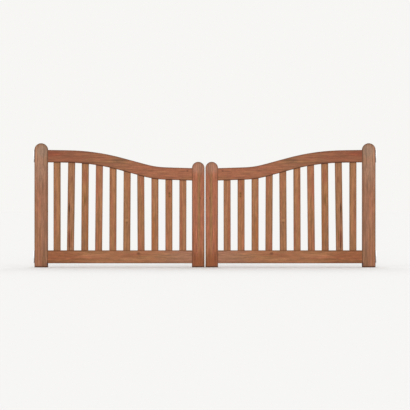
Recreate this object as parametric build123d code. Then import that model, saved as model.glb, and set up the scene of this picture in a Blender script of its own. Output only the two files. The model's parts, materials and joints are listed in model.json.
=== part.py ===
from build123d import *
import math
import os

# Double garden gate with swept top rails, in millimetres.
# Two mirrored hardwood leaves hang on butt hinges and open to the back. A leaf is a mortised frame:
# a tall hanging stile and a shorter meeting stile with round heads, a top rail cut to an S-curve,
# a straight bottom rail, and flat slats housed in both rails.
# While the left leaf is drawn, X runs along the gate from its middle, Y from front to back and Z up
# from the foot of the stiles. The finished gate then moves so that its origin lies on the post face
# of the left lower hinge.

# Overall sizes
gate_width = 2750.0
meeting_gap = 8.0
frame_thickness = 45.0

# Stiles
hanging_stile_height = 1000.0
hanging_stile_width = 108.0
meeting_stile_height = 850.0
meeting_stile_width = 101.0
stile_arris = 4.0

# Top rail: its upper edge slopes down between two knees, placed as shares of the opening and of the
# fall, and each knee is rounded over its own share of the slope
top_rail_depth = 100.0
upper_knee_shares = (0.33, 0.04)
lower_knee_shares = (0.75, 0.94)
upper_bend_share = 0.43
lower_bend_share = 0.146

# Bottom rail
bottom_rail_depth = 104.0
bottom_rail_lift = 32.0
rail_arris = 3.0

# Joints in the timber
tenon_length = 60.0
tenon_thickness = 15.0
tenon_shoulder = 12.0
housing_depth = 15.0
joint_clearance = 0.3

# Slats: the lean is how far the head of the most crooked slat stands off plumb, inward
slat_count = 10
slat_width = 57.0
slat_thickness = 20.0
slat_arris = 2.5
end_gap = 45.0
slat_lean = 10.0
slat_lean_shares = (0.0, 1.0, 0.5, 0.7, 0.2, 0.4, -0.3, 0.0, 0.0, 0.1)

# Butt hinges: the gate leaf is let in flush, the post leaf stands off it by the hinge gap
hinge_height = 100.0
hinge_leaf_width = 36.0
hinge_leaf_thickness = 4.0
hinge_gap = 3.0
knuckle_count = 3
knuckle_gap = 0.4
barrel_stand_off = 1.0
pin_radius = 3.0
pin_clearance = 0.05

# Screw holes in the post leaf of a hinge
screw_hole_radius = 2.75
screw_sink_radius = 5.0
screw_sink_depth = 2.2
screw_spacing_across = 18.0
screw_spacing_up = 70.0

# Cuts run this far past what they cut
overrun = 10.0

# Places worked out from the sizes above
half_thickness = frame_thickness / 2
outer_edge = -gate_width / 2
meeting_edge = -meeting_gap / 2
opening_start = outer_edge + hanging_stile_width
opening_end = meeting_edge - meeting_stile_width
opening_width = opening_end - opening_start
high_end = hanging_stile_height - hanging_stile_width / 2
low_end = meeting_stile_height - meeting_stile_width / 2
bottom_rail_top = bottom_rail_lift + bottom_rail_depth
slat_pitch = (opening_width - 2 * end_gap - slat_width) / (slat_count - 1)
lower_hinge_level = bottom_rail_lift + bottom_rail_depth / 2
upper_hinge_level = high_end - top_rail_depth / 2
barrel_radius = hinge_leaf_thickness + hinge_gap / 2
pin_x = outer_edge - hinge_gap / 2
pin_y = half_thickness + barrel_stand_off + barrel_radius
post_face = outer_edge - hinge_gap - hinge_leaf_thickness


def ease(board, arris, edges):
    """Bevel the given edges of a board, no further than its thickness allows."""
    return chamfer(edges, min(arris, board.bounding_box().size.Y / 3))


def face_outlines(board):
    """The edges round the front and the back face of a board."""
    by_depth = board.edges().group_by(Axis.Y)
    return by_depth[0] + by_depth[-1]


def between(low, high):
    """A block that fills the box between two opposite corners."""
    low, high = Vector(*low), Vector(*high)
    size = high - low
    middle = (low + high) * 0.5
    return Pos(*middle) * Box(*size)


def tenon(shoulder_x, middle_z, depth, extra=0.0):
    """A stub tenon across a shoulder line, or with extra all round the mortise that takes it."""
    length = tenon_length + extra
    thickness = tenon_thickness + 2 * extra
    height = depth - 2 * tenon_shoulder + 2 * extra
    return Pos(shoulder_x, 0, middle_z) * Box(2 * length, thickness, height)


# Rail ends, as the shoulder line, the middle height and the depth of the rail
high_joint = (opening_start, high_end - top_rail_depth / 2, top_rail_depth)
low_joint = (opening_end, low_end - top_rail_depth / 2, top_rail_depth)
foot_joints = [
    (shoulder, lower_hinge_level, bottom_rail_depth) for shoulder in (opening_start, opening_end)
]


def stile(start, width, height, joints):
    """An upright with a round head, bevelled arrises and a blind mortise for each rail."""
    springing = height - width / 2
    outline = Pos(0, springing / 2) * Rectangle(width, springing) + Pos(0, springing) * Circle(width / 2)
    board = extrude(Plane.XZ * outline, half_thickness, both=True)
    board = ease(board, stile_arris, face_outlines(board))
    board = Pos(start + width / 2, 0, 0) * board
    for joint in joints:
        board -= tenon(*joint, extra=joint_clearance)
    return board


def hinge_recess(level):
    """The shallow recess in the hanging stile's edge that takes a gate leaf of a hinge."""
    reach = hinge_height / 2 + joint_clearance
    front = half_thickness - hinge_leaf_width - joint_clearance
    low = (outer_edge - overrun, front, level - reach)
    high = (outer_edge + hinge_leaf_thickness, half_thickness + overrun, level + reach)
    return between(low, high)


def bend_radius(before, knee, after, reach):
    """The radius that rounds a knee from one reach before it to one reach after it."""
    turn = (knee - before).get_angle(after - knee)
    return reach / math.tan(math.radians(turn) / 2)


def top_rail_outline():
    """The S-curved band of the top rail, cut off plumb at the two stiles."""
    start = Vector(opening_start, high_end)
    end = Vector(opening_end, low_end)
    fall = high_end - low_end
    knees = [
        Vector(opening_start + across * opening_width, high_end - down * fall)
        for across, down in (upper_knee_shares, lower_knee_shares)
    ]
    run_in = start - (knees[0] - start).normalized() * overrun
    run_out = end + (end - knees[1]).normalized() * overrun
    slope = (knees[1] - knees[0]).length
    radii = [
        bend_radius(start, *knees, upper_bend_share * slope),
        bend_radius(*knees, end, lower_bend_share * slope),
    ]
    upper_edge = FilletPolyline(run_in, *knees, run_out, radius=radii)
    band = make_face(offset(upper_edge, top_rail_depth, side=Side.RIGHT, closed=True))
    middle = Pos((opening_start + opening_end) / 2, (high_end + low_end) / 2)
    return band & middle * Rectangle(opening_width, 2 * hanging_stile_height)


rail_outline = top_rail_outline()


def rail_underside(x):
    """The height of the top rail's lower edge above a place on the gate."""
    plumb = Edge.make_line((x, 0), (x, hanging_stile_height))
    return (rail_outline.face() & plumb).bounding_box().min.Y


def slat_bar(number, extra=0.0):
    """One slat, tilted by its lean, or with extra all round the square housings that take its ends."""
    x = opening_start + end_gap + slat_width / 2 + number * slat_pitch
    foot = bottom_rail_top - housing_depth
    high_side = x - slat_width / 2
    head = rail_underside(high_side) + housing_depth
    length = head - foot
    section = Rectangle(slat_width + 2 * extra, slat_thickness + 2 * extra)
    if not extra:
        section = chamfer(section.vertices(), slat_arris)
    bar = extrude(section, length / 2 + extra, both=True)
    lean = slat_lean * slat_lean_shares[number % len(slat_lean_shares)]
    tilt = math.degrees(math.atan2(lean, length))
    return Pos(x, 0, (head + foot) / 2) * Rot(0, tilt, 0) * bar


def housed(rail):
    """A rail with a housing for every slat."""
    for number in range(slat_count):
        rail -= slat_bar(number, joint_clearance)
    return rail


def rail(board, joints):
    """A rail with bevelled long arrises, stub tenons and slat housings."""
    long_arrises = face_outlines(board).filter_by(Axis.Z, reverse=True)
    board = ease(board, rail_arris, long_arrises)
    for joint in joints:
        board += tenon(*joint)
    return housed(board)


def top_rail():
    board = extrude(Plane.XZ * rail_outline, half_thickness, both=True)
    return rail(board, [high_joint, low_joint])


def bottom_rail():
    low = (opening_start, -half_thickness, bottom_rail_lift)
    high = (opening_end, half_thickness, bottom_rail_top)
    return rail(between(low, high), foot_joints)


def hinge_leaf(low_face, high_face, knuckles):
    """A hinge leaf on its pin line, rolled round the pin into a knuckle at each given step."""
    half_height = hinge_height / 2
    plate_back = half_thickness - pin_y
    plate_front = plate_back - hinge_leaf_width
    leaf = between((low_face, plate_front, -half_height), (high_face, plate_back, half_height))
    tongue = Pos((low_face + high_face) / 2, plate_back / 2) * Rectangle(hinge_leaf_thickness, -plate_back)
    rolled = tongue + Circle(barrel_radius) - Circle(pin_radius + pin_clearance)
    step = hinge_height / knuckle_count
    for number in knuckles:
        foot = number * step + knuckle_gap / 2 - half_height
        leaf += Pos(0, 0, foot) * extrude(rolled, step - knuckle_gap)
    return leaf


def gate_leaf():
    """The hinge leaf that is let into the hanging stile."""
    face = hinge_gap / 2
    return hinge_leaf(face, face + hinge_leaf_thickness, range(1, knuckle_count, 2))


def post_leaf():
    """The hinge leaf that is screwed to a post, with countersunk holes."""
    face = -hinge_gap / 2
    leaf = hinge_leaf(face - hinge_leaf_thickness, face, range(0, knuckle_count, 2))
    middle_y = half_thickness - hinge_leaf_width / 2 - pin_y
    hole = Cylinder(screw_hole_radius, 2 * hinge_leaf_thickness)
    sink = Cone(screw_hole_radius, screw_sink_radius, screw_sink_depth)
    hole += Pos(0, 0, hinge_leaf_thickness - screw_sink_depth / 2) * sink
    for across in (-screw_spacing_across / 2, screw_spacing_across / 2):
        for up in (-screw_spacing_up / 2, screw_spacing_up / 2):
            leaf -= Pos(face - hinge_leaf_thickness, middle_y + across, up) * Rot(0, 90, 0) * hole
    return leaf


def hinge_pin():
    """The pin through all knuckles, flush with the ends of the barrel."""
    return Cylinder(pin_radius, hinge_height)


def left_pieces():
    """Every piece of the left leaf and its hinges by name."""
    pieces = {}
    hanging = stile(opening_start - hanging_stile_width, hanging_stile_width, hanging_stile_height,
                    [high_joint, foot_joints[0]])
    pieces["meeting_stile"] = stile(opening_end, meeting_stile_width, meeting_stile_height,
                                    [low_joint, foot_joints[1]])
    pieces["top_rail"] = top_rail()
    pieces["bottom_rail"] = bottom_rail()
    for number in range(slat_count):
        pieces[f"slat_{number + 1:02d}"] = slat_bar(number)
    for name, level in (("upper", upper_hinge_level), ("lower", lower_hinge_level)):
        hanging -= hinge_recess(level)
        place = Pos(pin_x, pin_y, level)
        pieces[f"{name}_hinge_leaf"] = place * gate_leaf()
        pieces[f"{name}_hinge_post_leaf"] = place * post_leaf()
        pieces[f"{name}_hinge_pin"] = place * hinge_pin()
    pieces["hanging_stile"] = hanging
    return pieces


origin_shift = Pos(-post_face, 0, -lower_hinge_level)
os.makedirs("parts", exist_ok=True)
for name, piece in left_pieces().items():
    export_step(origin_shift * piece, f"parts/left_{name}.step")
    export_step(origin_shift * mirror(piece, about=Plane.YZ), f"parts/right_{name}.step")
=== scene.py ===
"""Looks of the double garden gate: planed hardwood boards, zinc-plated hinges, studio light.

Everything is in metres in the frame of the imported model: X runs along the gate, Y from front to
back and Z up. The right leaf mirrors the left one about the middle of the gate.
"""
import json
import math
from typing import NamedTuple

import bmesh
import bpy
import numpy as np
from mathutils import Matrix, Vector


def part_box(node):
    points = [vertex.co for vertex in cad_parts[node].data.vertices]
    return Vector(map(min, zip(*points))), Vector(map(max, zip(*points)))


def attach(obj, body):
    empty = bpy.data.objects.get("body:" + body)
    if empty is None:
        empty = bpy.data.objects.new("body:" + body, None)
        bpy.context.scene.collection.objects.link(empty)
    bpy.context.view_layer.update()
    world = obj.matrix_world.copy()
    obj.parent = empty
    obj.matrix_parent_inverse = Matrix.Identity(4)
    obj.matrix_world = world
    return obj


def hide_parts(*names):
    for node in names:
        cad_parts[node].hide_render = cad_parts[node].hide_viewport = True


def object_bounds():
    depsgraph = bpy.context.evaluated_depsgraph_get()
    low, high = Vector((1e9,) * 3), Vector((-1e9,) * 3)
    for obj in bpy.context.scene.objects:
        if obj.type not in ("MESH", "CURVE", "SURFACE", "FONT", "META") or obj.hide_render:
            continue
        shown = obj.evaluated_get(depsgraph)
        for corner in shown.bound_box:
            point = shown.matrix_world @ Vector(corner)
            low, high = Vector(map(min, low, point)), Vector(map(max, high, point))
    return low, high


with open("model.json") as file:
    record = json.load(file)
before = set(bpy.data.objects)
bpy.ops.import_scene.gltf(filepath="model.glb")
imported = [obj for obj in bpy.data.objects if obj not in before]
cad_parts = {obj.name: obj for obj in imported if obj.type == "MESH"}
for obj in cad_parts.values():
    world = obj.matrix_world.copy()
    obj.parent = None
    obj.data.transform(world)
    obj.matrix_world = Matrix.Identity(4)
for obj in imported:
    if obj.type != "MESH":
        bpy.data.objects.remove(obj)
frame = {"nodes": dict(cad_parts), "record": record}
cad_low, cad_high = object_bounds()

MM = 0.001
TOLERANCE = 0.01 * MM
PLACE_DIGITS = 5
SIDES = ("left", "right")
HINGE_LEVELS = ("lower", "upper")
SLATS = [f"slat_{number:02d}" for number in range(1, 11)]
CORNERS = ((-1, -1), (1, -1), (1, 1), (-1, 1))

# Places in the frame
MIDDLE_X = (cad_low.x + cad_high.x) / 2
FOOT_Z = cad_low.z
stile_low, stile_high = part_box("left_hanging_stile")
FRONT_Y = stile_low.y
BACK_Y = stile_high.y
MIDDLE_Y = (FRONT_Y + BACK_Y) / 2
FRAME_DEPTH = BACK_Y - FRONT_Y

# Points on a board: spacing, shares of an arris and of a side, and angles round a stile's head
ROW_STEP = 7 * MM
COLUMN_STEP = 6 * MM
ARRIS_SHARES = (0.0, 0.05, 0.2, 0.42, 0.7, 1.0)
SIDE_SHARES = (0.05, 0.2, 0.5, 0.8, 0.95)
HEAD_TURNS = np.radians(np.arange(4, 89, 3.5))
SEAT_STEP = 0.2 * MM
BOARD_SHARP_ANGLE = math.radians(50)

# Arris radii and their wear, and faint planing waves: wave lengths are along and across the grain
STILE_ARRIS = 5 * MM
RAIL_ARRIS = 6 * MM
SLAT_ARRIS = 3 * MM
MAX_ARRIS_SHARE = 0.4
WEAR_SHARE = 0.12
WEAR_RANGE = (0.6, 1.5)
WEAR_WAVES = (0.12, 0.2)
WEAR_SEED_SHIFT = 7
PLANING_HEIGHT = 0.25 * MM
PLANING_WAVES = (0.16, 0.06)
WAVE_COUNT = 9
SEED_STEP = 100

# Wane: a stretch of one slat's outer edge that was left rounder than the rest
WANE_SLAT = "slat_02"
WANE_HEIGHT = 0.49
WANE_HALF_LENGTH = 0.06
WANE_RADIUS = 6 * MM

# How far painted shade at arrises and at the joints with slats reaches over a board
PAINTED_ARRIS_SHADE_REACH = 5 * MM
HEAD_PAINTED_SHADE_SHARE = 1.0
SIDE_PAINTED_SHADE_REACH = 1.5 * MM
JOINT_REACH = 5.5 * MM
JOINT_POWER = 4
JOINT_FADE = 1 * MM

# Reading the shapes of slats and rails from their solids
SLAT_END_REACH = 3 * MM
PROBE_INSET = 7 * MM
PROBE_MARGIN = 1 * MM
PROBE_START = 1.0
SMOOTHING_REACH = 5

# Hinges and their screws
HINGE_EASE = 0.3 * MM
HINGE_EASE_STEPS = 2
HINGE_EASE_PROFILE = 0.5
HINGE_MERGE_REACH = 0.25 * MM
HINGE_SHARP_ANGLE = math.radians(35)
FLAT_ANGLE = math.radians(1)
HINGE_LEAF_THICKNESS = 4 * MM
HINGE_LEAF_WIDTH = 36 * MM
SCREW_ACROSS = 18 * MM
SCREW_UP = 70 * MM
SCREW_SLANT = math.radians(31)
SCREW_SIDES = 24
SCREW_HEAD_RADIUS = 4.8 * MM
SCREW_HEAD_RISE = 0.8 * MM
SCREW_HEAD_SINK = 0.3 * MM
SCREW_DOME_SHARES = ((0.0, 1.0), (0.6, 0.9), (1.0, 0.68))
CROSS_REACH = 2.6 * MM
CROSS_HALF_WIDTH = 0.5 * MM
CROSS_DEPTH = 0.7 * MM
CROSS_TAPER = 0.8

# Light: the key comes from the front, so edges that turn away are darker
SKY = (0.930, 0.922, 0.905)
KEY_STRENGTH = 1.6
KEY_RISE = math.radians(12)
KEY_SPREAD = math.radians(20)
BACK_STRENGTH = 0.9
BACK_RISE = math.radians(40)
BACK_SPREAD = math.radians(40)

# Floor
FLOOR_TONE = 0.76
FLOOR_REACH = 150.0
FLOOR_DROP = 0.5 * MM

# Light that a face towards the front gets, what gloss adds to it, and the darkest wood
FRONT_LEVEL = SKY[0] + KEY_STRENGTH * math.cos(KEY_RISE) / math.pi
SHEEN_LEVEL = 0.022
DARKEST = 0.003

# Camera: a long lens straight in front of the gate
IMAGE_SIZE = 410
METRES_PER_PIXEL = 8.06 * MM
CAMERA_DISTANCE = 18.0
CAMERA_RAISE = 2 * MM
SENSOR = 36.0


def ripples(along, across, waves, seed):
    """Smooth unevenness with a spread of about one, from a few seeded plane waves."""
    rng = np.random.default_rng(seed)
    total = np.zeros(np.broadcast(along, across).shape)
    for _ in range(WAVE_COUNT):
        turns_along = rng.normal() / waves[0]
        turns_across = rng.normal() / waves[1]
        phase = rng.uniform(0, 2 * math.pi)
        total += np.sin(2 * math.pi * (along * turns_along + across * turns_across) + phase)
    return total * math.sqrt(2 / WAVE_COUNT)


def even_steps(start, end, step):
    """Places from start to end, spaced evenly by about the given step."""
    count = max(2, int(round(abs(end - start) / step)) + 1)
    return np.linspace(start, end, count)


def column_shares(width, arris):
    """Places across a board from 0 to 1, close together where the arrises curve."""
    edge = np.array(ARRIS_SHARES) * arris / width
    middle = even_steps(edge[-1], 1 - edge[-1], COLUMN_STEP / width)
    return np.concatenate([edge[:-1], middle, 1 - edge[-2::-1]])


def grid_faces(rows, columns, start, flip):
    """Quads of a grid of points stored row by row."""
    faces = []
    for row in range(rows - 1):
        for column in range(columns - 1):
            first = start + row * columns + column
            quad = [first, first + 1, first + columns + 1, first + columns]
            faces.append(quad[::-1] if flip else quad)
    return faces


def side_faces(loops, flip):
    """Quads between closed loops of points, each loop joined to the next."""
    faces = []
    for lower, upper in zip(loops, loops[1:]):
        for here in range(len(lower)):
            after = (here + 1) % len(lower)
            quad = [lower[here], upper[here], upper[after], lower[after]]
            faces.append(quad[::-1] if flip else quad)
    return faces


def rim_of(rows, columns):
    """Indices round the outside of a grid of points, in order."""
    bottom = list(range(columns))
    right = [row * columns + columns - 1 for row in range(1, rows)]
    top = [(rows - 1) * columns + column for column in range(columns - 2, -1, -1)]
    left = [row * columns for row in range(rows - 2, 0, -1)]
    return bottom + right + top + left


def face_height(along, across, inset, depth, arris, wane, seed):
    """How far a board's face stands off its middle: round at worn arrises, faintly waved."""
    uneven = ripples(along, across, PLANING_WAVES, seed)
    wear = ripples(along, across, WEAR_WAVES, seed + WEAR_SEED_SHIFT)
    radius = arris * np.clip(1 + WEAR_SHARE * wear, *WEAR_RANGE) + wane
    radius = np.minimum(radius, MAX_ARRIS_SHARE * depth)
    drop = radius - np.minimum(np.maximum(inset, 0), radius)
    height = depth / 2 - radius + np.sqrt(np.maximum(radius**2 - drop**2, 0))
    return height + PLANING_HEIGHT * uneven * np.minimum(inset / arris, 1)


def side_levels(front, back, seats):
    """Depths of the rows of points on a board's sides, two of them at the front of hinge seats."""
    levels = [front + share * (back - front) for share in SIDE_SHARES]
    if seats:
        seat_front = seats[0][0].y - MIDDLE_Y
        levels[1:1] = [np.full(len(front), seat_front - gap) for gap in (SEAT_STEP, 0)]
    return levels


def cut_seats(points, seats):
    """Moves the points of a stile's outer side under a hinge leaf in to the leaf's inner face."""
    for low, high in seats:
        let_in = (points[:, 2] > low.z - TOLERANCE) & (points[:, 2] < high.z + TOLERANCE)
        let_in &= (points[:, 1] > low.y - TOLERANCE) & (points[:, 0] < high.x)
        points[let_in, 0] = high.x


def finish_mesh(name, points, faces, shades):
    """A smooth-shaded mesh with the painted shade at arrises and joints kept on its points."""
    mesh = bpy.data.meshes.new(name)
    mesh.from_pydata(points.tolist(), [], faces)
    for key, values in shades.items():
        kept = mesh.attributes.new(key, "FLOAT", "POINT")
        kept.data.foreach_set("value", values.astype(np.float32))
    mesh.shade_smooth()
    mesh.set_sharp_from_angle(angle=BOARD_SHARP_ANGLE)
    mesh.update()
    return mesh


def board_mesh(name, along, across, inset, depth, arris, upright, seed, wane=0.0, seats=(),
               painted_shade_reach=PAINTED_ARRIS_SHADE_REACH, painted_joint_shade=0.0):
    """A board with rounded, slightly worn arrises: a front and a back grid joined round their rim.

    along and across are grids of places on the front face, and inset is their distance from its
    outline. wane is added to the arris radius, seats are the boxes of hinge leaves let into the
    outer side, painted_shade_reach is how far the painted shade at the arrises goes, and
    painted_joint_shade is how much painted shade the board takes beside what enters it.
    """
    rows, columns = along.shape
    front = -face_height(along, across, inset, depth, arris, wane, seed).ravel()
    back = face_height(along, across, inset, depth, arris, wane, seed + 1).ravel()
    painted_joint_shade = np.broadcast_to(painted_joint_shade, along.shape).ravel()
    # Painted shade, strongest at the outline of the face
    painted_arris_shade = np.exp(-np.maximum(inset, 0) / painted_shade_reach).ravel()
    along = along.ravel()
    across = across.ravel()
    rim = rim_of(rows, columns)
    layers = [(along, across, front, painted_arris_shade, painted_joint_shade), (along, across, back, painted_arris_shade, painted_joint_shade)]
    for level in side_levels(front[rim], back[rim], seats):
        reach = np.minimum(level - front[rim], back[rim] - level)
        # Painted shade on the sides, strongest at the arrises
        side_painted_shade = np.exp(-np.maximum(reach, 0) / SIDE_PAINTED_SHADE_REACH)
        layers.append((along[rim], across[rim], level, side_painted_shade, painted_joint_shade[rim]))
    x, z, y, painted_arris_shade, painted_joint_shade = (np.concatenate(values) for values in zip(*layers))
    if upright:
        x, z = z, x
    points = np.stack([x, MIDDLE_Y + y, z], axis=1)
    cut_seats(points, seats)

    size = rows * columns
    faces = grid_faces(rows, columns, 0, not upright) + grid_faces(rows, columns, size, upright)
    loops = [rim]
    loops += [range(start, start + len(rim)) for start in range(2 * size, len(points), len(rim))]
    loops.append([size + index for index in rim])
    faces += side_faces(loops, not upright)
    return finish_mesh(name, points, faces, {"arris": painted_arris_shade, "painted_joint_shade": painted_joint_shade})


def mirrored(mesh, name):
    """The same mesh on the other side of the gate's middle."""
    points = np.array([vertex.co for vertex in mesh.vertices])
    points[:, 0] = 2 * MIDDLE_X - points[:, 0]
    faces = [list(face.vertices)[::-1] for face in mesh.polygons]
    shades = {}
    for key in ("arris", "painted_joint_shade"):
        shades[key] = np.array([point.value for point in mesh.attributes[key].data])
    return finish_mesh(name, points, faces, shades)


def stile_mesh(piece, seed):
    """An upright with a round head."""
    low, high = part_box(f"left_{piece}")
    radius = (high.x - low.x) / 2
    middle = (low.x + high.x) / 2
    springing = high.z - radius
    seats = []
    if piece == "hanging_stile":
        seats = [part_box(f"left_{level}_hinge_leaf") for level in HINGE_LEVELS]
    foot = low.z + STILE_ARRIS * np.array(ARRIS_SHARES)
    shaft = [even_steps(foot[-1], springing, ROW_STEP)[1:]]
    for seat_low, seat_high in seats:
        shaft.append((seat_low.z - SEAT_STEP, seat_low.z, seat_high.z, seat_high.z + SEAT_STEP))
    shaft = np.unique(np.round(np.concatenate(shaft), PLACE_DIGITS))
    heights = np.concatenate([foot, shaft, springing + radius * np.sin(HEAD_TURNS)])
    straight = np.full(len(foot) + len(shaft), radius)
    half_widths = np.concatenate([straight, radius * np.cos(HEAD_TURNS)])
    shares = column_shares(2 * radius, STILE_ARRIS) * 2 - 1
    along = np.repeat(heights[:, None], len(shares), axis=1)
    across = middle + half_widths[:, None] * shares[None, :]
    over = np.maximum(along - springing, 0)
    inset = np.minimum(radius - np.hypot(across - middle, over), along - low.z)
    painted_shade_reach = PAINTED_ARRIS_SHADE_REACH * (1 + HEAD_PAINTED_SHADE_SHARE * over / radius)
    return board_mesh(f"left_{piece}", along, across, inset, FRAME_DEPTH, STILE_ARRIS, True, seed,
                      seats=seats, painted_shade_reach=painted_shade_reach)


def slat_ends(piece):
    """The corners of a slat's box, the middles of its foot and head along X, and its width."""
    solid = np.array([vertex.co for vertex in frame["nodes"][f"left_{piece}"].data.vertices])
    low, high = solid.min(axis=0), solid.max(axis=0)
    ends = [solid[abs(solid[:, 2] - level) < SLAT_END_REACH][:, 0] for level in (low[2], high[2])]
    middles = [(end.min() + end.max()) / 2 for end in ends]
    return low, high, middles, ends[0].max() - ends[0].min()


def slat_heads():
    """The stretches along X where the slats enter the top rail."""
    spans = []
    for slat in SLATS:
        middles, width = slat_ends(slat)[2:]
        spans.append((middles[1] - width / 2, middles[1] + width / 2))
    return spans


def slat_mesh(piece, seed):
    """A flat slat between its housings, with the lean of its solid."""
    low, high, middles, width = slat_ends(piece)
    depth = high[1] - low[1]
    heights = even_steps(low[2], high[2], ROW_STEP)
    shares = column_shares(width, SLAT_ARRIS) - 0.5
    along = np.repeat(heights[:, None], len(shares), axis=1)
    centre = np.interp(heights, (low[2], high[2]), middles)
    offset = np.repeat((width * shares)[None, :], len(heights), axis=0)
    inset = width / 2 - abs(offset)
    wane = 0.0
    if piece == WANE_SLAT:
        away = (along - FOOT_Z - WANE_HEIGHT) / WANE_HALF_LENGTH
        wane = WANE_RADIUS * np.exp(-away**2) * (offset < 0)
    across = centre[:, None] + offset
    return board_mesh(f"left_{piece}", along, across, inset, depth, SLAT_ARRIS, True, seed, wane)


def edge_heights(rail, places, from_above):
    """Heights of a rail's upper or lower edge at the given places, found on its solid."""
    low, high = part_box(rail)
    start = high.z + PROBE_START if from_above else low.z - PROBE_START
    way = Vector((0, 0, -1 if from_above else 1))
    solid = frame["nodes"][rail]
    hits = [solid.ray_cast(Vector((x, FRONT_Y + PROBE_INSET, start)), way) for x in places]
    return np.array([hit[1].z for hit in hits])


def smoothed(values, reach):
    """A running mean that keeps straight ends straight."""
    before = 2 * values[0] - values[reach:0:-1]
    after = 2 * values[-1] - values[-2:-reach - 2:-1]
    padded = np.concatenate([before, values, after])
    count = 2 * reach + 1
    return np.convolve(padded, np.full(count, 1 / count), mode="valid")


def rail_mesh(piece, seed):
    """A rail between the two stiles: straight, or swept with painted shade where slats enter it."""
    rail = f"left_{piece}"
    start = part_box("left_hanging_stile")[1].x
    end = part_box("left_meeting_stile")[0].x
    steps = even_steps(start, end, ROW_STEP)
    heads = slat_heads() if piece == "top_rail" else []
    sides = [side + fade for head in heads for side in head for fade in (-JOINT_FADE, JOINT_FADE)]
    places = np.unique(np.round(np.concatenate([steps, sides]), PLACE_DIGITS))
    probes = np.clip(steps, start + PROBE_MARGIN, end - PROBE_MARGIN)
    lower, upper = (
        np.interp(places, steps, smoothed(edge_heights(rail, probes, from_above), SMOOTHING_REACH))
        for from_above in (False, True)
    )
    shares = column_shares(upper[0] - lower[0], RAIL_ARRIS)
    along = np.repeat(places[:, None], len(shares), axis=1)
    depth = (upper - lower)[:, None]
    across = lower[:, None] + depth * shares[None, :]
    fall = np.gradient(upper, places)[:, None]
    inset = np.minimum(shares, 1 - shares)[None, :] * depth * np.cos(np.arctan(fall))
    # Painted shade on the top rail where each slat's head enters it
    covered = np.zeros(len(places))
    for low, high in heads:
        covered += np.clip(np.minimum(places - low, high - places) / JOINT_FADE, 0, 1)
    painted_joint_shade = covered[:, None] * np.exp(-(shares[None, :] * depth / JOINT_REACH)**JOINT_POWER)
    return board_mesh(rail, along, across, inset, FRAME_DEPTH, RAIL_ARRIS, False, seed, painted_joint_shade=painted_joint_shade)


def linear(red, green, blue):
    """A colour as seen on screen, from 0 to 255, as linear light by the sRGB curve."""
    shares = np.array((red, green, blue)) / 255
    return np.where(shares > 0.04045, ((shares + 0.055) / 1.055) ** 2.4, shares / 12.92)


def wood_colour(red, green, blue):
    """The surface colour that shows as the given screen colour on a face towards the front."""
    surface = (linear(red, green, blue) - SHEEN_LEVEL) / FRONT_LEVEL
    return (*np.maximum(surface, DARKEST), 1)


# Hardwood colours as they show on screen
RED_BROWN = wood_colour(167, 103, 76)
OCHRE = wood_colour(173, 122, 82)
PINK_GREY = wood_colour(167, 125, 105)
ASH_GREY = wood_colour(166, 140, 121)
DARK_BROWN = wood_colour(96, 64, 48)
# Painted shade at arrises, and in corners and where slats enter the top rail
PAINTED_EDGE_SHADE = wood_colour(104, 75, 58)
PAINTED_CORNER_SHADE = wood_colour(68, 42, 28)
DEEP_RED = wood_colour(148, 93, 70)
WINE_RED = wood_colour(152, 84, 62)
RUST = wood_colour(142, 84, 54)
BARK_RED = wood_colour(118, 60, 40)
OLIVE = wood_colour(130, 96, 50)
UMBER = wood_colour(132, 98, 74)
ORANGE = wood_colour(176, 110, 64)
STRAW = wood_colour(158, 120, 80)
TAUPE = wood_colour(144, 102, 82)
CORAL = wood_colour(182, 114, 87)
PALE = wood_colour(196, 146, 104)


class Tone(NamedTuple):
    """A board's share of red-brown over ochre, its share of pink-grey, and its lightness."""

    red_share: float
    pink_share: float
    lightness: float


class Mark(NamedTuple):
    """A knot or streak at a distance from the gate's middle and a height above its foot."""

    aside: float
    height: float
    half_width: float
    half_height: float
    colour: tuple
    strength: float


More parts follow.
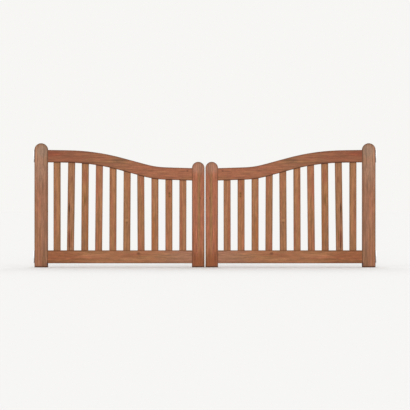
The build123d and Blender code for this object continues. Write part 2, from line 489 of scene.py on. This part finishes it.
TONES = {
    "hanging_stile": Tone(0.45, 0.65, 1.00),
    "meeting_stile": Tone(0.65, 0.20, 1.05),
    "top_rail": Tone(0.58, 0.20, 0.95),
    "bottom_rail": Tone(0.45, 0.20, 1.00),
    "slat_01": Tone(0.35, 0.20, 1.00),
    "slat_02": Tone(0.40, 0.35, 0.98),
    "slat_03": Tone(0.40, 0.05, 0.97),
    "slat_04": Tone(0.50, 0.20, 1.05),
    "slat_05": Tone(0.40, 0.15, 1.02),
    "slat_06": Tone(0.40, 0.20, 1.00),
    "slat_07": Tone(0.50, 0.20, 1.03),
    "slat_08": Tone(0.50, 0.20, 1.05),
    "slat_09": Tone(0.45, 0.15, 1.05),
    "slat_10": Tone(0.50, 0.25, 1.10),
}
MARKS = {
    "hanging_stile": [
        Mark(1.3080, 0.940, 0.075, 0.080, ASH_GREY, 0.65),
        Mark(1.3210, 0.790, 0.080, 0.200, ASH_GREY, 0.35),
        Mark(1.2960, 0.400, 0.034, 0.560, TAUPE, 0.55),
        Mark(1.2740, 0.095, 0.020, 0.120, UMBER, 0.7),
        # Painted shadow under the bottom rail, at the stile's inner edge
        Mark(1.2680, 0.024, 0.019, 0.032, PAINTED_CORNER_SHADE, 1.0),
    ],
    "meeting_stile": [
        Mark(0.0500, 0.450, 0.012, 0.600, STRAW, 0.8),
        Mark(0.0725, 0.480, 0.014, 0.500, CORAL, 0.7),
        Mark(0.0210, 0.650, 0.018, 0.140, CORAL, 0.75),
        Mark(0.0920, 0.230, 0.014, 0.160, RUST, 0.5),
        Mark(0.0550, 0.030, 0.110, 0.140, RUST, 0.75),
        Mark(0.0550, 0.810, 0.090, 0.070, PINK_GREY, 0.7),
        Mark(0.0390, 0.558, 0.006, 0.008, DARK_BROWN, 0.7),
    ],
    "top_rail": [
        Mark(1.2500, 0.900, 0.550, 0.400, DEEP_RED, 0.7),
        Mark(1.2300, 0.912, 0.130, 0.024, WINE_RED, 0.7),
        Mark(0.6950, 0.841, 0.120, 0.110, UMBER, 0.35),
        Mark(0.1415, 0.777, 0.012, 0.010, DARK_BROWN, 0.6),
    ],
    "bottom_rail": [
        Mark(1.2000, 0.080, 0.300, 0.140, RUST, 0.5),
        Mark(0.1500, 0.080, 0.300, 0.140, PINK_GREY, 0.5),
        Mark(0.5373, 0.114, 0.020, 0.012, DARK_BROWN, 0.7),
    ],
    "slat_01": [Mark(1.2040, 0.520, 0.010, 0.160, UMBER, 0.5)],
    "slat_02": [
        Mark(1.0935, 0.478, 0.010, 0.050, DARK_BROWN, 0.95),
        Mark(1.0940, 0.415, 0.011, 0.160, DARK_BROWN, 0.45),
        Mark(1.0940, 0.240, 0.011, 0.120, BARK_RED, 0.85),
        Mark(1.0930, 0.170, 0.009, 0.060, DARK_BROWN, 0.75),
        Mark(1.0760, 0.260, 0.008, 0.060, OLIVE, 0.7),
        Mark(1.0745, 0.710, 0.010, 0.035, BARK_RED, 0.4),
        Mark(1.0830, 0.150, 0.010, 0.012, PALE, 0.6),
    ],
    "slat_03": [
        Mark(0.9694, 0.547, 0.010, 0.075, OLIVE, 0.8),
        Mark(0.9650, 0.730, 0.024, 0.090, RED_BROWN, 0.8),
        Mark(0.9480, 0.280, 0.010, 0.240, ORANGE, 0.7),
        Mark(0.9760, 0.300, 0.014, 0.240, UMBER, 0.5),
    ],
    "slat_06": [
        Mark(0.6290, 0.381, 0.016, 0.018, PALE, 0.6),
        Mark(0.6290, 0.361, 0.014, 0.009, DARK_BROWN, 0.45),
        Mark(0.6290, 0.396, 0.014, 0.008, DARK_BROWN, 0.3),
        Mark(0.6160, 0.300, 0.010, 0.160, UMBER, 0.5),
    ],
    "slat_08": [Mark(0.4160, 0.280, 0.012, 0.300, ORANGE, 0.7)],
    "slat_09": [
        Mark(0.2870, 0.583, 0.010, 0.045, OLIVE, 0.8),
        Mark(0.2862, 0.596, 0.009, 0.012, DARK_BROWN, 0.75),
        Mark(0.2862, 0.571, 0.009, 0.011, DARK_BROWN, 0.7),
        Mark(0.2890, 0.500, 0.007, 0.070, OLIVE, 0.4),
    ],
    "slat_10": [Mark(0.1880, 0.350, 0.010, 0.400, RED_BROWN, 0.6)],
}

# Where a mark fades out, as a share of its size, and how far streaks fray it
MARK_RANGE = (0.25, 1.1)
MARK_FRAY = 1.2

# Layers of grain: noise scale across, through and along a board, then detail, roughness, distortion
GRAIN = {
    "broad": ((24, 24, 2.2), 3.0, 0.55, 0.6),
    "streak": ((120, 120, 3.0), 3.0, 0.6, 0.3),
    "figure": ((110, 110, 12), 3.0, 0.6, 0.2),
    "fibre": ((900, 900, 14), 2.0, 0.6, 0.0),
    "pore": ((1300, 1300, 55), 1.0, 0.5, 0.0),
}
GRAIN_SEED_SHIFT = (1.37, 2.11, 3.73)

# How far a layer makes the wood lighter and darker, and the range in which most of its values lie
GRAIN_SWINGS = {"broad": 0.14, "streak": 0.24, "figure": 0.24, "fibre": 0.22}
NOISE_RANGE = (0.3, 0.7)
NOISE_MIDDLE = 0.5

# Values of the noise over which red-brown, pink-grey and pores come in
RED_RANGE = (0.30, 0.70)
PINK_RANGE = (0.25, 0.65)
PORE_RANGE = (0.58, 0.70)
PORE_SHADE = 0.5

# Painted shade at arrises and joints with slats, and how dark end grain and stile feet are
PAINTED_ARRIS_SHADES = {"stile": (0.75, PAINTED_EDGE_SHADE), "rail": (0.8, DARK_BROWN), "slat": (0.6, PAINTED_EDGE_SHADE)}
JOINT_PAINTED_SHADE = 0.65
END_GRAIN_SHADE = 0.75
END_GRAIN_RANGE = (0.2, 0.9)
FOOT_DARKENING = 0.95
FOOT_DARKENING_HEIGHT = 12 * MM
FOOT_DARKENING_FRAY = 8 * MM

# Gloss and relief of the wood
WOOD_ROUGHNESS = 0.5
WOOD_ROUGHNESS_SPAN = 0.25
WOOD_SPECULAR = 0.2
PORE_DEPTH = 1.5
BUMP_STRENGTH = 0.35
BUMP_DEPTH = 0.4 * MM

# Zinc plating
ZINC_DARK = (0.42, 0.43, 0.44, 1)
ZINC_LIGHT = (0.62, 0.63, 0.64, 1)
ZINC_RANGE = (0.35, 0.8)
ZINC_ROUGHNESS = 0.28
ZINC_ROUGHNESS_SPAN = 0.3
CRYSTAL_SCALE = 160
CRYSTAL_SHARE = 0.25
CLOUD = ((60, 60, 60), 3.0, 0.6, 0.0)

# Sockets of a mix node for colours: the share and the two colours, and the result
MIX_INPUTS = (0, 6, 7)
MIX_OUTPUT = 2


def feed(tree, socket, value):
    """Links a socket to another one, or sets it to a plain value."""
    if isinstance(value, bpy.types.NodeSocket):
        tree.links.new(value, socket)
    else:
        socket.default_value = value


def add_node(tree, kind, *inputs, **settings):
    """A shader node, with its first sockets fed in their order."""
    made = tree.nodes.new(kind)
    for key, value in settings.items():
        setattr(made, key, value)
    for socket, value in zip(made.inputs, inputs):
        feed(tree, socket, value)
    return made


def maths(tree, operation, *inputs):
    """The result of one operation on sockets and plain values."""
    return add_node(tree, "ShaderNodeMath", *inputs, operation=operation).outputs[0]


def noise(tree, place, scale, detail, roughness, distortion):
    """Smooth noise about one half, stretched differently along each axis by its scale."""
    scaled = add_node(tree, "ShaderNodeVectorMath", place, scale, operation="MULTIPLY").outputs[0]
    made = add_node(tree, "ShaderNodeTexNoise")
    feed(tree, made.inputs["Vector"], scaled)
    feed(tree, made.inputs["Scale"], 1.0)
    feed(tree, made.inputs["Detail"], detail)
    feed(tree, made.inputs["Roughness"], roughness)
    feed(tree, made.inputs["Distortion"], distortion)
    return made.outputs[0]


def ramp(tree, value, low, high):
    """The value stretched so that low becomes 0 and high becomes 1."""
    stretch = (value, low, high, 0.0, 1.0)
    made = add_node(tree, "ShaderNodeMapRange", *stretch, interpolation_type="SMOOTHSTEP")
    return made.outputs[0]


def swing(tree, value, amount):
    """A factor about one that follows a noise value."""
    stretch = (value, *NOISE_RANGE, 1 - amount, 1 + amount)
    return add_node(tree, "ShaderNodeMapRange", *stretch).outputs[0]


def mixed(tree, share, first, second, blend="MIX"):
    """The first colour with a share of the second mixed in."""
    made = add_node(tree, "ShaderNodeMix", data_type="RGBA", blend_type=blend)
    for number, value in zip(MIX_INPUTS, (share, first, second)):
        feed(tree, made.inputs[number], value)
    return made.outputs[MIX_OUTPUT]


def new_material(name):
    """A material with its node tree and its shader."""
    material = bpy.data.materials.new(name)
    material.use_nodes = True
    tree = material.node_tree
    return material, tree, tree.nodes["Principled BSDF"]


def kind_of(piece):
    """Whether a board is a stile, a rail or a slat."""
    return next(kind for kind in PAINTED_ARRIS_SHADES if kind in piece)


def gate_place(tree):
    """A place as its distance from the gate's middle, its depth and its height above the foot."""
    place = add_node(tree, "ShaderNodeTexCoord").outputs["Object"]
    x, y, z = add_node(tree, "ShaderNodeSeparateXYZ", place).outputs
    aside = maths(tree, "ABSOLUTE", maths(tree, "SUBTRACT", x, MIDDLE_X))
    return aside, y, maths(tree, "SUBTRACT", z, FOOT_Z)


def grain_layers(tree, place, seed):
    """Every layer of grain at a place, whose last axis runs along the board."""
    grain = add_node(tree, "ShaderNodeCombineXYZ", *place).outputs[0]
    shift = tuple(seed * step for step in GRAIN_SEED_SHIFT)
    grain = add_node(tree, "ShaderNodeVectorMath", grain, shift, operation="ADD").outputs[0]
    return {layer: noise(tree, grain, *settings) for layer, settings in GRAIN.items()}


def mark_share(tree, mark, aside, height, streak):
    """How much of a mark's colour shows at a place: an oval that frays along the grain."""
    squares = []
    for place, centre, half_size in (
        (aside, mark.aside, mark.half_width),
        (height, mark.height, mark.half_height),
    ):
        off = maths(tree, "DIVIDE", maths(tree, "SUBTRACT", place, centre), half_size)
        squares.append(maths(tree, "MULTIPLY", off, off))
    away = maths(tree, "SQRT", maths(tree, "ADD", *squares))
    fray = maths(tree, "MULTIPLY", maths(tree, "SUBTRACT", streak, NOISE_MIDDLE), MARK_FRAY)
    outside = ramp(tree, maths(tree, "ADD", away, fray), *MARK_RANGE)
    return maths(tree, "MULTIPLY", maths(tree, "SUBTRACT", 1.0, outside), mark.strength)


def wood_tone(tree, piece, layers, aside, height):
    """A board's own colours with its marks, lighter and darker along the grain."""
    tone = TONES[piece]
    red = maths(tree, "ADD", layers["broad"], tone.red_share - NOISE_MIDDLE)
    colour = mixed(tree, ramp(tree, red, *RED_RANGE), OCHRE, RED_BROWN)
    pink = maths(tree, "MULTIPLY", ramp(tree, layers["streak"], *PINK_RANGE), tone.pink_share)
    colour = mixed(tree, pink, colour, PINK_GREY)
    for mark in MARKS.get(piece, []):
        share = mark_share(tree, mark, aside, height, layers["streak"])
        colour = mixed(tree, share, colour, mark.colour)
    for layer, amount in GRAIN_SWINGS.items():
        colour = mixed(tree, 1.0, colour, swing(tree, layers[layer], amount), "MULTIPLY")
    return colour


def edge_shaded(tree, piece, colour, height, streak):
    """A board's colour with painted shade at arrises and joints, darker end grain and foot."""
    share, painted_shade_colour = PAINTED_ARRIS_SHADES[kind_of(piece)]
    # The arris attribute holds how much painted shade a point takes by an arris
    arris = add_node(tree, "ShaderNodeAttribute", attribute_name="arris").outputs["Fac"]
    colour = mixed(tree, maths(tree, "MULTIPLY", arris, share), colour, painted_shade_colour, "DARKEN")
    # Painted shade on the top rail where the slats enter it
    if piece == "top_rail":
        painted_joint_shade = add_node(tree, "ShaderNodeAttribute", attribute_name="painted_joint_shade").outputs["Fac"]
        colour = mixed(tree, maths(tree, "MULTIPLY", painted_joint_shade, JOINT_PAINTED_SHADE), colour, PAINTED_CORNER_SHADE)
    if kind_of(piece) == "stile":
        facing = add_node(tree, "ShaderNodeNewGeometry").outputs["Normal"]
        upward = add_node(tree, "ShaderNodeSeparateXYZ", facing).outputs[2]
        end_grain = ramp(tree, maths(tree, "ABSOLUTE", upward), *END_GRAIN_RANGE)
        end_grain = maths(tree, "MULTIPLY", end_grain, END_GRAIN_SHADE)
        colour = mixed(tree, end_grain, colour, DARK_BROWN)
        # Darker towards the foot of each stile
        ragged = maths(tree, "ADD", height, maths(tree, "MULTIPLY", streak, -FOOT_DARKENING_FRAY))
        foot_darkening = maths(tree, "SUBTRACT", 1.0, ramp(tree, ragged, 0.0, FOOT_DARKENING_HEIGHT))
        colour = mixed(tree, maths(tree, "MULTIPLY", foot_darkening, FOOT_DARKENING), colour, DARK_BROWN)
    return colour


def hardwood(piece, seed):
    """Oiled hardwood with streaks, fibres and pores along the board, and the board's own marks."""
    material, tree, shader = new_material(piece)
    aside, depth, height = gate_place(tree)
    lying = kind_of(piece) == "rail"
    grain_place = (height, depth, aside) if lying else (aside, depth, height)
    layers = grain_layers(tree, grain_place, seed)
    colour = wood_tone(tree, piece, layers, aside, height)
    pores = maths(tree, "MULTIPLY", ramp(tree, layers["pore"], *PORE_RANGE), PORE_SHADE)
    colour = mixed(tree, pores, colour, DARK_BROWN)
    colour = edge_shaded(tree, piece, colour, height, layers["streak"])
    lightness = TONES[piece].lightness
    colour = mixed(tree, 1.0, colour, (lightness, lightness, lightness, 1), "MULTIPLY")
    feed(tree, shader.inputs["Base Color"], colour)
    uneven = maths(tree, "MULTIPLY", layers["fibre"], WOOD_ROUGHNESS_SPAN)
    feed(tree, shader.inputs["Roughness"], maths(tree, "ADD", uneven, WOOD_ROUGHNESS))
    feed(tree, shader.inputs["Specular IOR Level"], WOOD_SPECULAR)
    relief = maths(tree, "SUBTRACT", layers["fibre"], maths(tree, "MULTIPLY", pores, PORE_DEPTH))
    bump = add_node(tree, "ShaderNodeBump")
    feed(tree, bump.inputs["Strength"], BUMP_STRENGTH)
    feed(tree, bump.inputs["Distance"], BUMP_DEPTH)
    feed(tree, bump.inputs["Height"], relief)
    feed(tree, shader.inputs["Normal"], bump.outputs[0])
    return material


def zinc():
    """Dull zinc plating with faint crystals and rubbed patches."""
    material, tree, shader = new_material("hinge_zinc")
    place = add_node(tree, "ShaderNodeTexCoord").outputs["Object"]
    cells = add_node(tree, "ShaderNodeTexVoronoi", place)
    feed(tree, cells.inputs["Scale"], CRYSTAL_SCALE)
    cloud = noise(tree, place, *CLOUD)
    crystals = maths(tree, "MULTIPLY", cells.outputs["Distance"], CRYSTAL_SHARE)
    tone = ramp(tree, maths(tree, "ADD", crystals, cloud), *ZINC_RANGE)
    feed(tree, shader.inputs["Base Color"], mixed(tree, tone, ZINC_DARK, ZINC_LIGHT))
    feed(tree, shader.inputs["Metallic"], 1.0)
    uneven = maths(tree, "MULTIPLY", cloud, ZINC_ROUGHNESS_SPAN)
    feed(tree, shader.inputs["Roughness"], maths(tree, "ADD", uneven, ZINC_ROUGHNESS))
    return material


def add_object(name, mesh, material):
    """A mesh in the scene, with its material."""
    made = bpy.data.objects.new(name, mesh)
    bpy.context.scene.collection.objects.link(made)
    mesh.materials.append(material)
    return made


def add_boards():
    """Every board of both leaves, in place of its plain solid."""
    makers = {"stile": stile_mesh, "rail": rail_mesh, "slat": slat_mesh}
    for seed, piece in enumerate(TONES, start=1):
        kind = kind_of(piece)
        material = hardwood(piece, seed)
        meshes = {"left": makers[kind](piece, SEED_STEP * seed)}
        meshes["right"] = mirrored(meshes["left"], f"right_{piece}")
        for side in SIDES:
            board = add_object(f"{side}_{piece}_board", meshes[side], material)
            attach(board, f"{side}_leaf")
            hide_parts(f"{side}_{piece}")


def turned(y, z, angle):
    """A place across a screw, turned about the screw's middle."""
    return y * math.cos(angle) - z * math.sin(angle), y * math.sin(angle) + z * math.cos(angle)


def screw_mesh(name, place, inward, slant):
    """A raised screw head with a cross recess on a hinge leaf's face, turned by its slant.

    Its points are first set by their depth under the face and their place across the screw.
    inward is 1 or -1, the way into the leaf along X.
    """
    turns = np.arange(SCREW_SIDES) * 2 * math.pi / SCREW_SIDES
    rings = [(SCREW_HEAD_SINK, SCREW_HEAD_RADIUS)]
    for rise, share in SCREW_DOME_SHARES:
        rings.append((-SCREW_HEAD_RISE * rise, SCREW_HEAD_RADIUS * share))
    points = [(depth, *turned(radius, 0, turn)) for depth, radius in rings for turn in turns]
    starts = range(0, len(points), SCREW_SIDES)
    loops = [list(range(start, start + SCREW_SIDES)) for start in starts]
    faces = [loops[0]] + side_faces(loops, False)

    arm = (
        (CROSS_REACH, -CROSS_HALF_WIDTH),
        (CROSS_REACH, CROSS_HALF_WIDTH),
        (CROSS_HALF_WIDTH, CROSS_HALF_WIDTH),
    )
    cross = [turned(y, z, quarter * math.pi / 2) for quarter in range(4) for y, z in arm]
    edge = list(range(len(points), len(points) + len(cross)))
    floor = [index + len(cross) for index in edge]
    points += [(-SCREW_HEAD_RISE, y, z) for y, z in cross]
    points += [(CROSS_DEPTH - SCREW_HEAD_RISE, y * CROSS_TAPER, z * CROSS_TAPER) for y, z in cross]
    faces += side_faces([edge, floor], False)
    faces.append(floor[::-1])

    crown = loops[-1]
    angles = [math.atan2(z, y) / (2 * math.pi) for y, z in cross]
    nearest = [round(angle * SCREW_SIDES) % SCREW_SIDES for angle in angles]
    for here in range(len(cross)):
        after = (here + 1) % len(cross)
        steps = (nearest[after] - nearest[here]) % SCREW_SIDES
        rim = [crown[(nearest[here] + step) % SCREW_SIDES] for step in range(steps, -1, -1)]
        faces.append([edge[here], edge[after]] + rim)

    placed = []
    for depth, y, z in points:
        across, up = turned(y, z, slant)
        placed.append((place[0] + inward * depth, place[1] + across, place[2] + up))
    mesh = bpy.data.meshes.new(name)
    mesh.from_pydata(placed, [], faces if inward > 0 else [face[::-1] for face in faces])
    mesh.update()
    return mesh


def add_screws(plating):
    """Four screws in each hinge leaf on the gate."""
    for side, inward in zip(SIDES, (1, -1)):
        for level in HINGE_LEVELS:
            low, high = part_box(f"{side}_{level}_hinge_leaf")
            inner_x = high.x if side == "left" else low.x
            face_x = inner_x - inward * HINGE_LEAF_THICKNESS
            middle_y = BACK_Y - HINGE_LEAF_WIDTH / 2
            middle_z = (low.z + high.z) / 2
            for number, (across, up) in enumerate(CORNERS, start=1):
                place = (face_x, middle_y + across * SCREW_ACROSS / 2, middle_z + up * SCREW_UP / 2)
                name = f"{side}_{level}_hinge_screw_{number}"
                mesh = screw_mesh(name, place, inward, SCREW_SLANT * number)
                screw = add_object(name, mesh, plating)
                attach(screw, f"{side}_leaf")


def eased_mesh(solid, name):
    """A copy of a hinge solid's mesh with its sharp edges eased."""
    shape = bmesh.new()
    shape.from_mesh(solid.data)
    bmesh.ops.remove_doubles(shape, verts=shape.verts, dist=HINGE_MERGE_REACH)
    bmesh.ops.dissolve_limit(shape, angle_limit=FLAT_ANGLE, verts=shape.verts, edges=shape.edges)
    sharp = [edge for edge in shape.edges if edge.calc_face_angle(0.0) > HINGE_SHARP_ANGLE]
    bmesh.ops.bevel(shape, geom=sharp, offset=HINGE_EASE, segments=HINGE_EASE_STEPS,
                    profile=HINGE_EASE_PROFILE, affect="EDGES")
    mesh = bpy.data.meshes.new(name)
    shape.to_mesh(mesh)
    shape.free()
    mesh.materials.clear()
    mesh.shade_smooth()
    mesh.set_sharp_from_angle(angle=HINGE_SHARP_ANGLE)
    return mesh


def add_hinges():
    """Zinc-plated hinges with eased edges, in place of their plain solids."""
    plating = zinc()
    add_screws(plating)
    for body, nodes in frame["record"]["behaviour"]["bodies"].items():
        for node in nodes:
            if "hinge" in node:
                name = f"{node}_eased"
                eased = add_object(name, eased_mesh(frame["nodes"][node], name), plating)
                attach(eased, body)
                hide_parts(node)


def add_floor():
    """A plain pale floor just under the feet of the stiles."""
    level = FOOT_Z - FLOOR_DROP
    corners = [(MIDDLE_X + x * FLOOR_REACH, y * FLOOR_REACH, level) for x, y in CORNERS]
    mesh = bpy.data.meshes.new("floor")
    mesh.from_pydata(corners, [], [(0, 1, 2, 3)])
    material, tree, shader = new_material("floor_paper")
    feed(tree, shader.inputs["Base Color"], (FLOOR_TONE, FLOOR_TONE, FLOOR_TONE, 1))
    feed(tree, shader.inputs["Roughness"], 1.0)
    feed(tree, shader.inputs["Specular IOR Level"], 0.0)
    add_object("floor", mesh, material)


def add_sun(name, strength, rise, spread, from_front):
    """A wide, distant light that stands in front of the gate or behind it."""
    light = bpy.data.lights.new(name, "SUN")
    light.energy = strength
    light.angle = spread
    sun = bpy.data.objects.new(name, light)
    tilt = math.pi / 2 - rise
    sun.rotation_euler = (tilt if from_front else -tilt, 0, 0)
    bpy.context.scene.collection.objects.link(sun)


def add_light():
    """Soft light from all round, a key from the front and a weaker light from the back."""
    world = bpy.data.worlds.new("studio")
    world.use_nodes = True
    world.node_tree.nodes["Background"].inputs["Color"].default_value = (*SKY, 1)
    bpy.context.scene.world = world
    add_sun("key", KEY_STRENGTH, KEY_RISE, KEY_SPREAD, True)
    add_sun("back", BACK_STRENGTH, BACK_RISE, BACK_SPREAD, False)
    bpy.context.scene.view_settings.view_transform = "Standard"


def add_camera():
    """The photograph's view, straight from the front."""
    data = bpy.data.cameras.new("camera")
    data.sensor_width = SENSOR
    data.lens = SENSOR * CAMERA_DISTANCE / (IMAGE_SIZE * METRES_PER_PIXEL)
    camera = bpy.data.objects.new("camera", data)
    middle_z = (cad_low.z + cad_high.z) / 2
    camera.location = (MIDDLE_X, FRONT_Y - CAMERA_DISTANCE, middle_z + CAMERA_RAISE)
    camera.rotation_euler = (math.pi / 2, 0, 0)
    bpy.context.scene.collection.objects.link(camera)
    bpy.context.scene.camera = camera


add_boards()
add_hinges()
add_floor()
add_light()
add_camera()
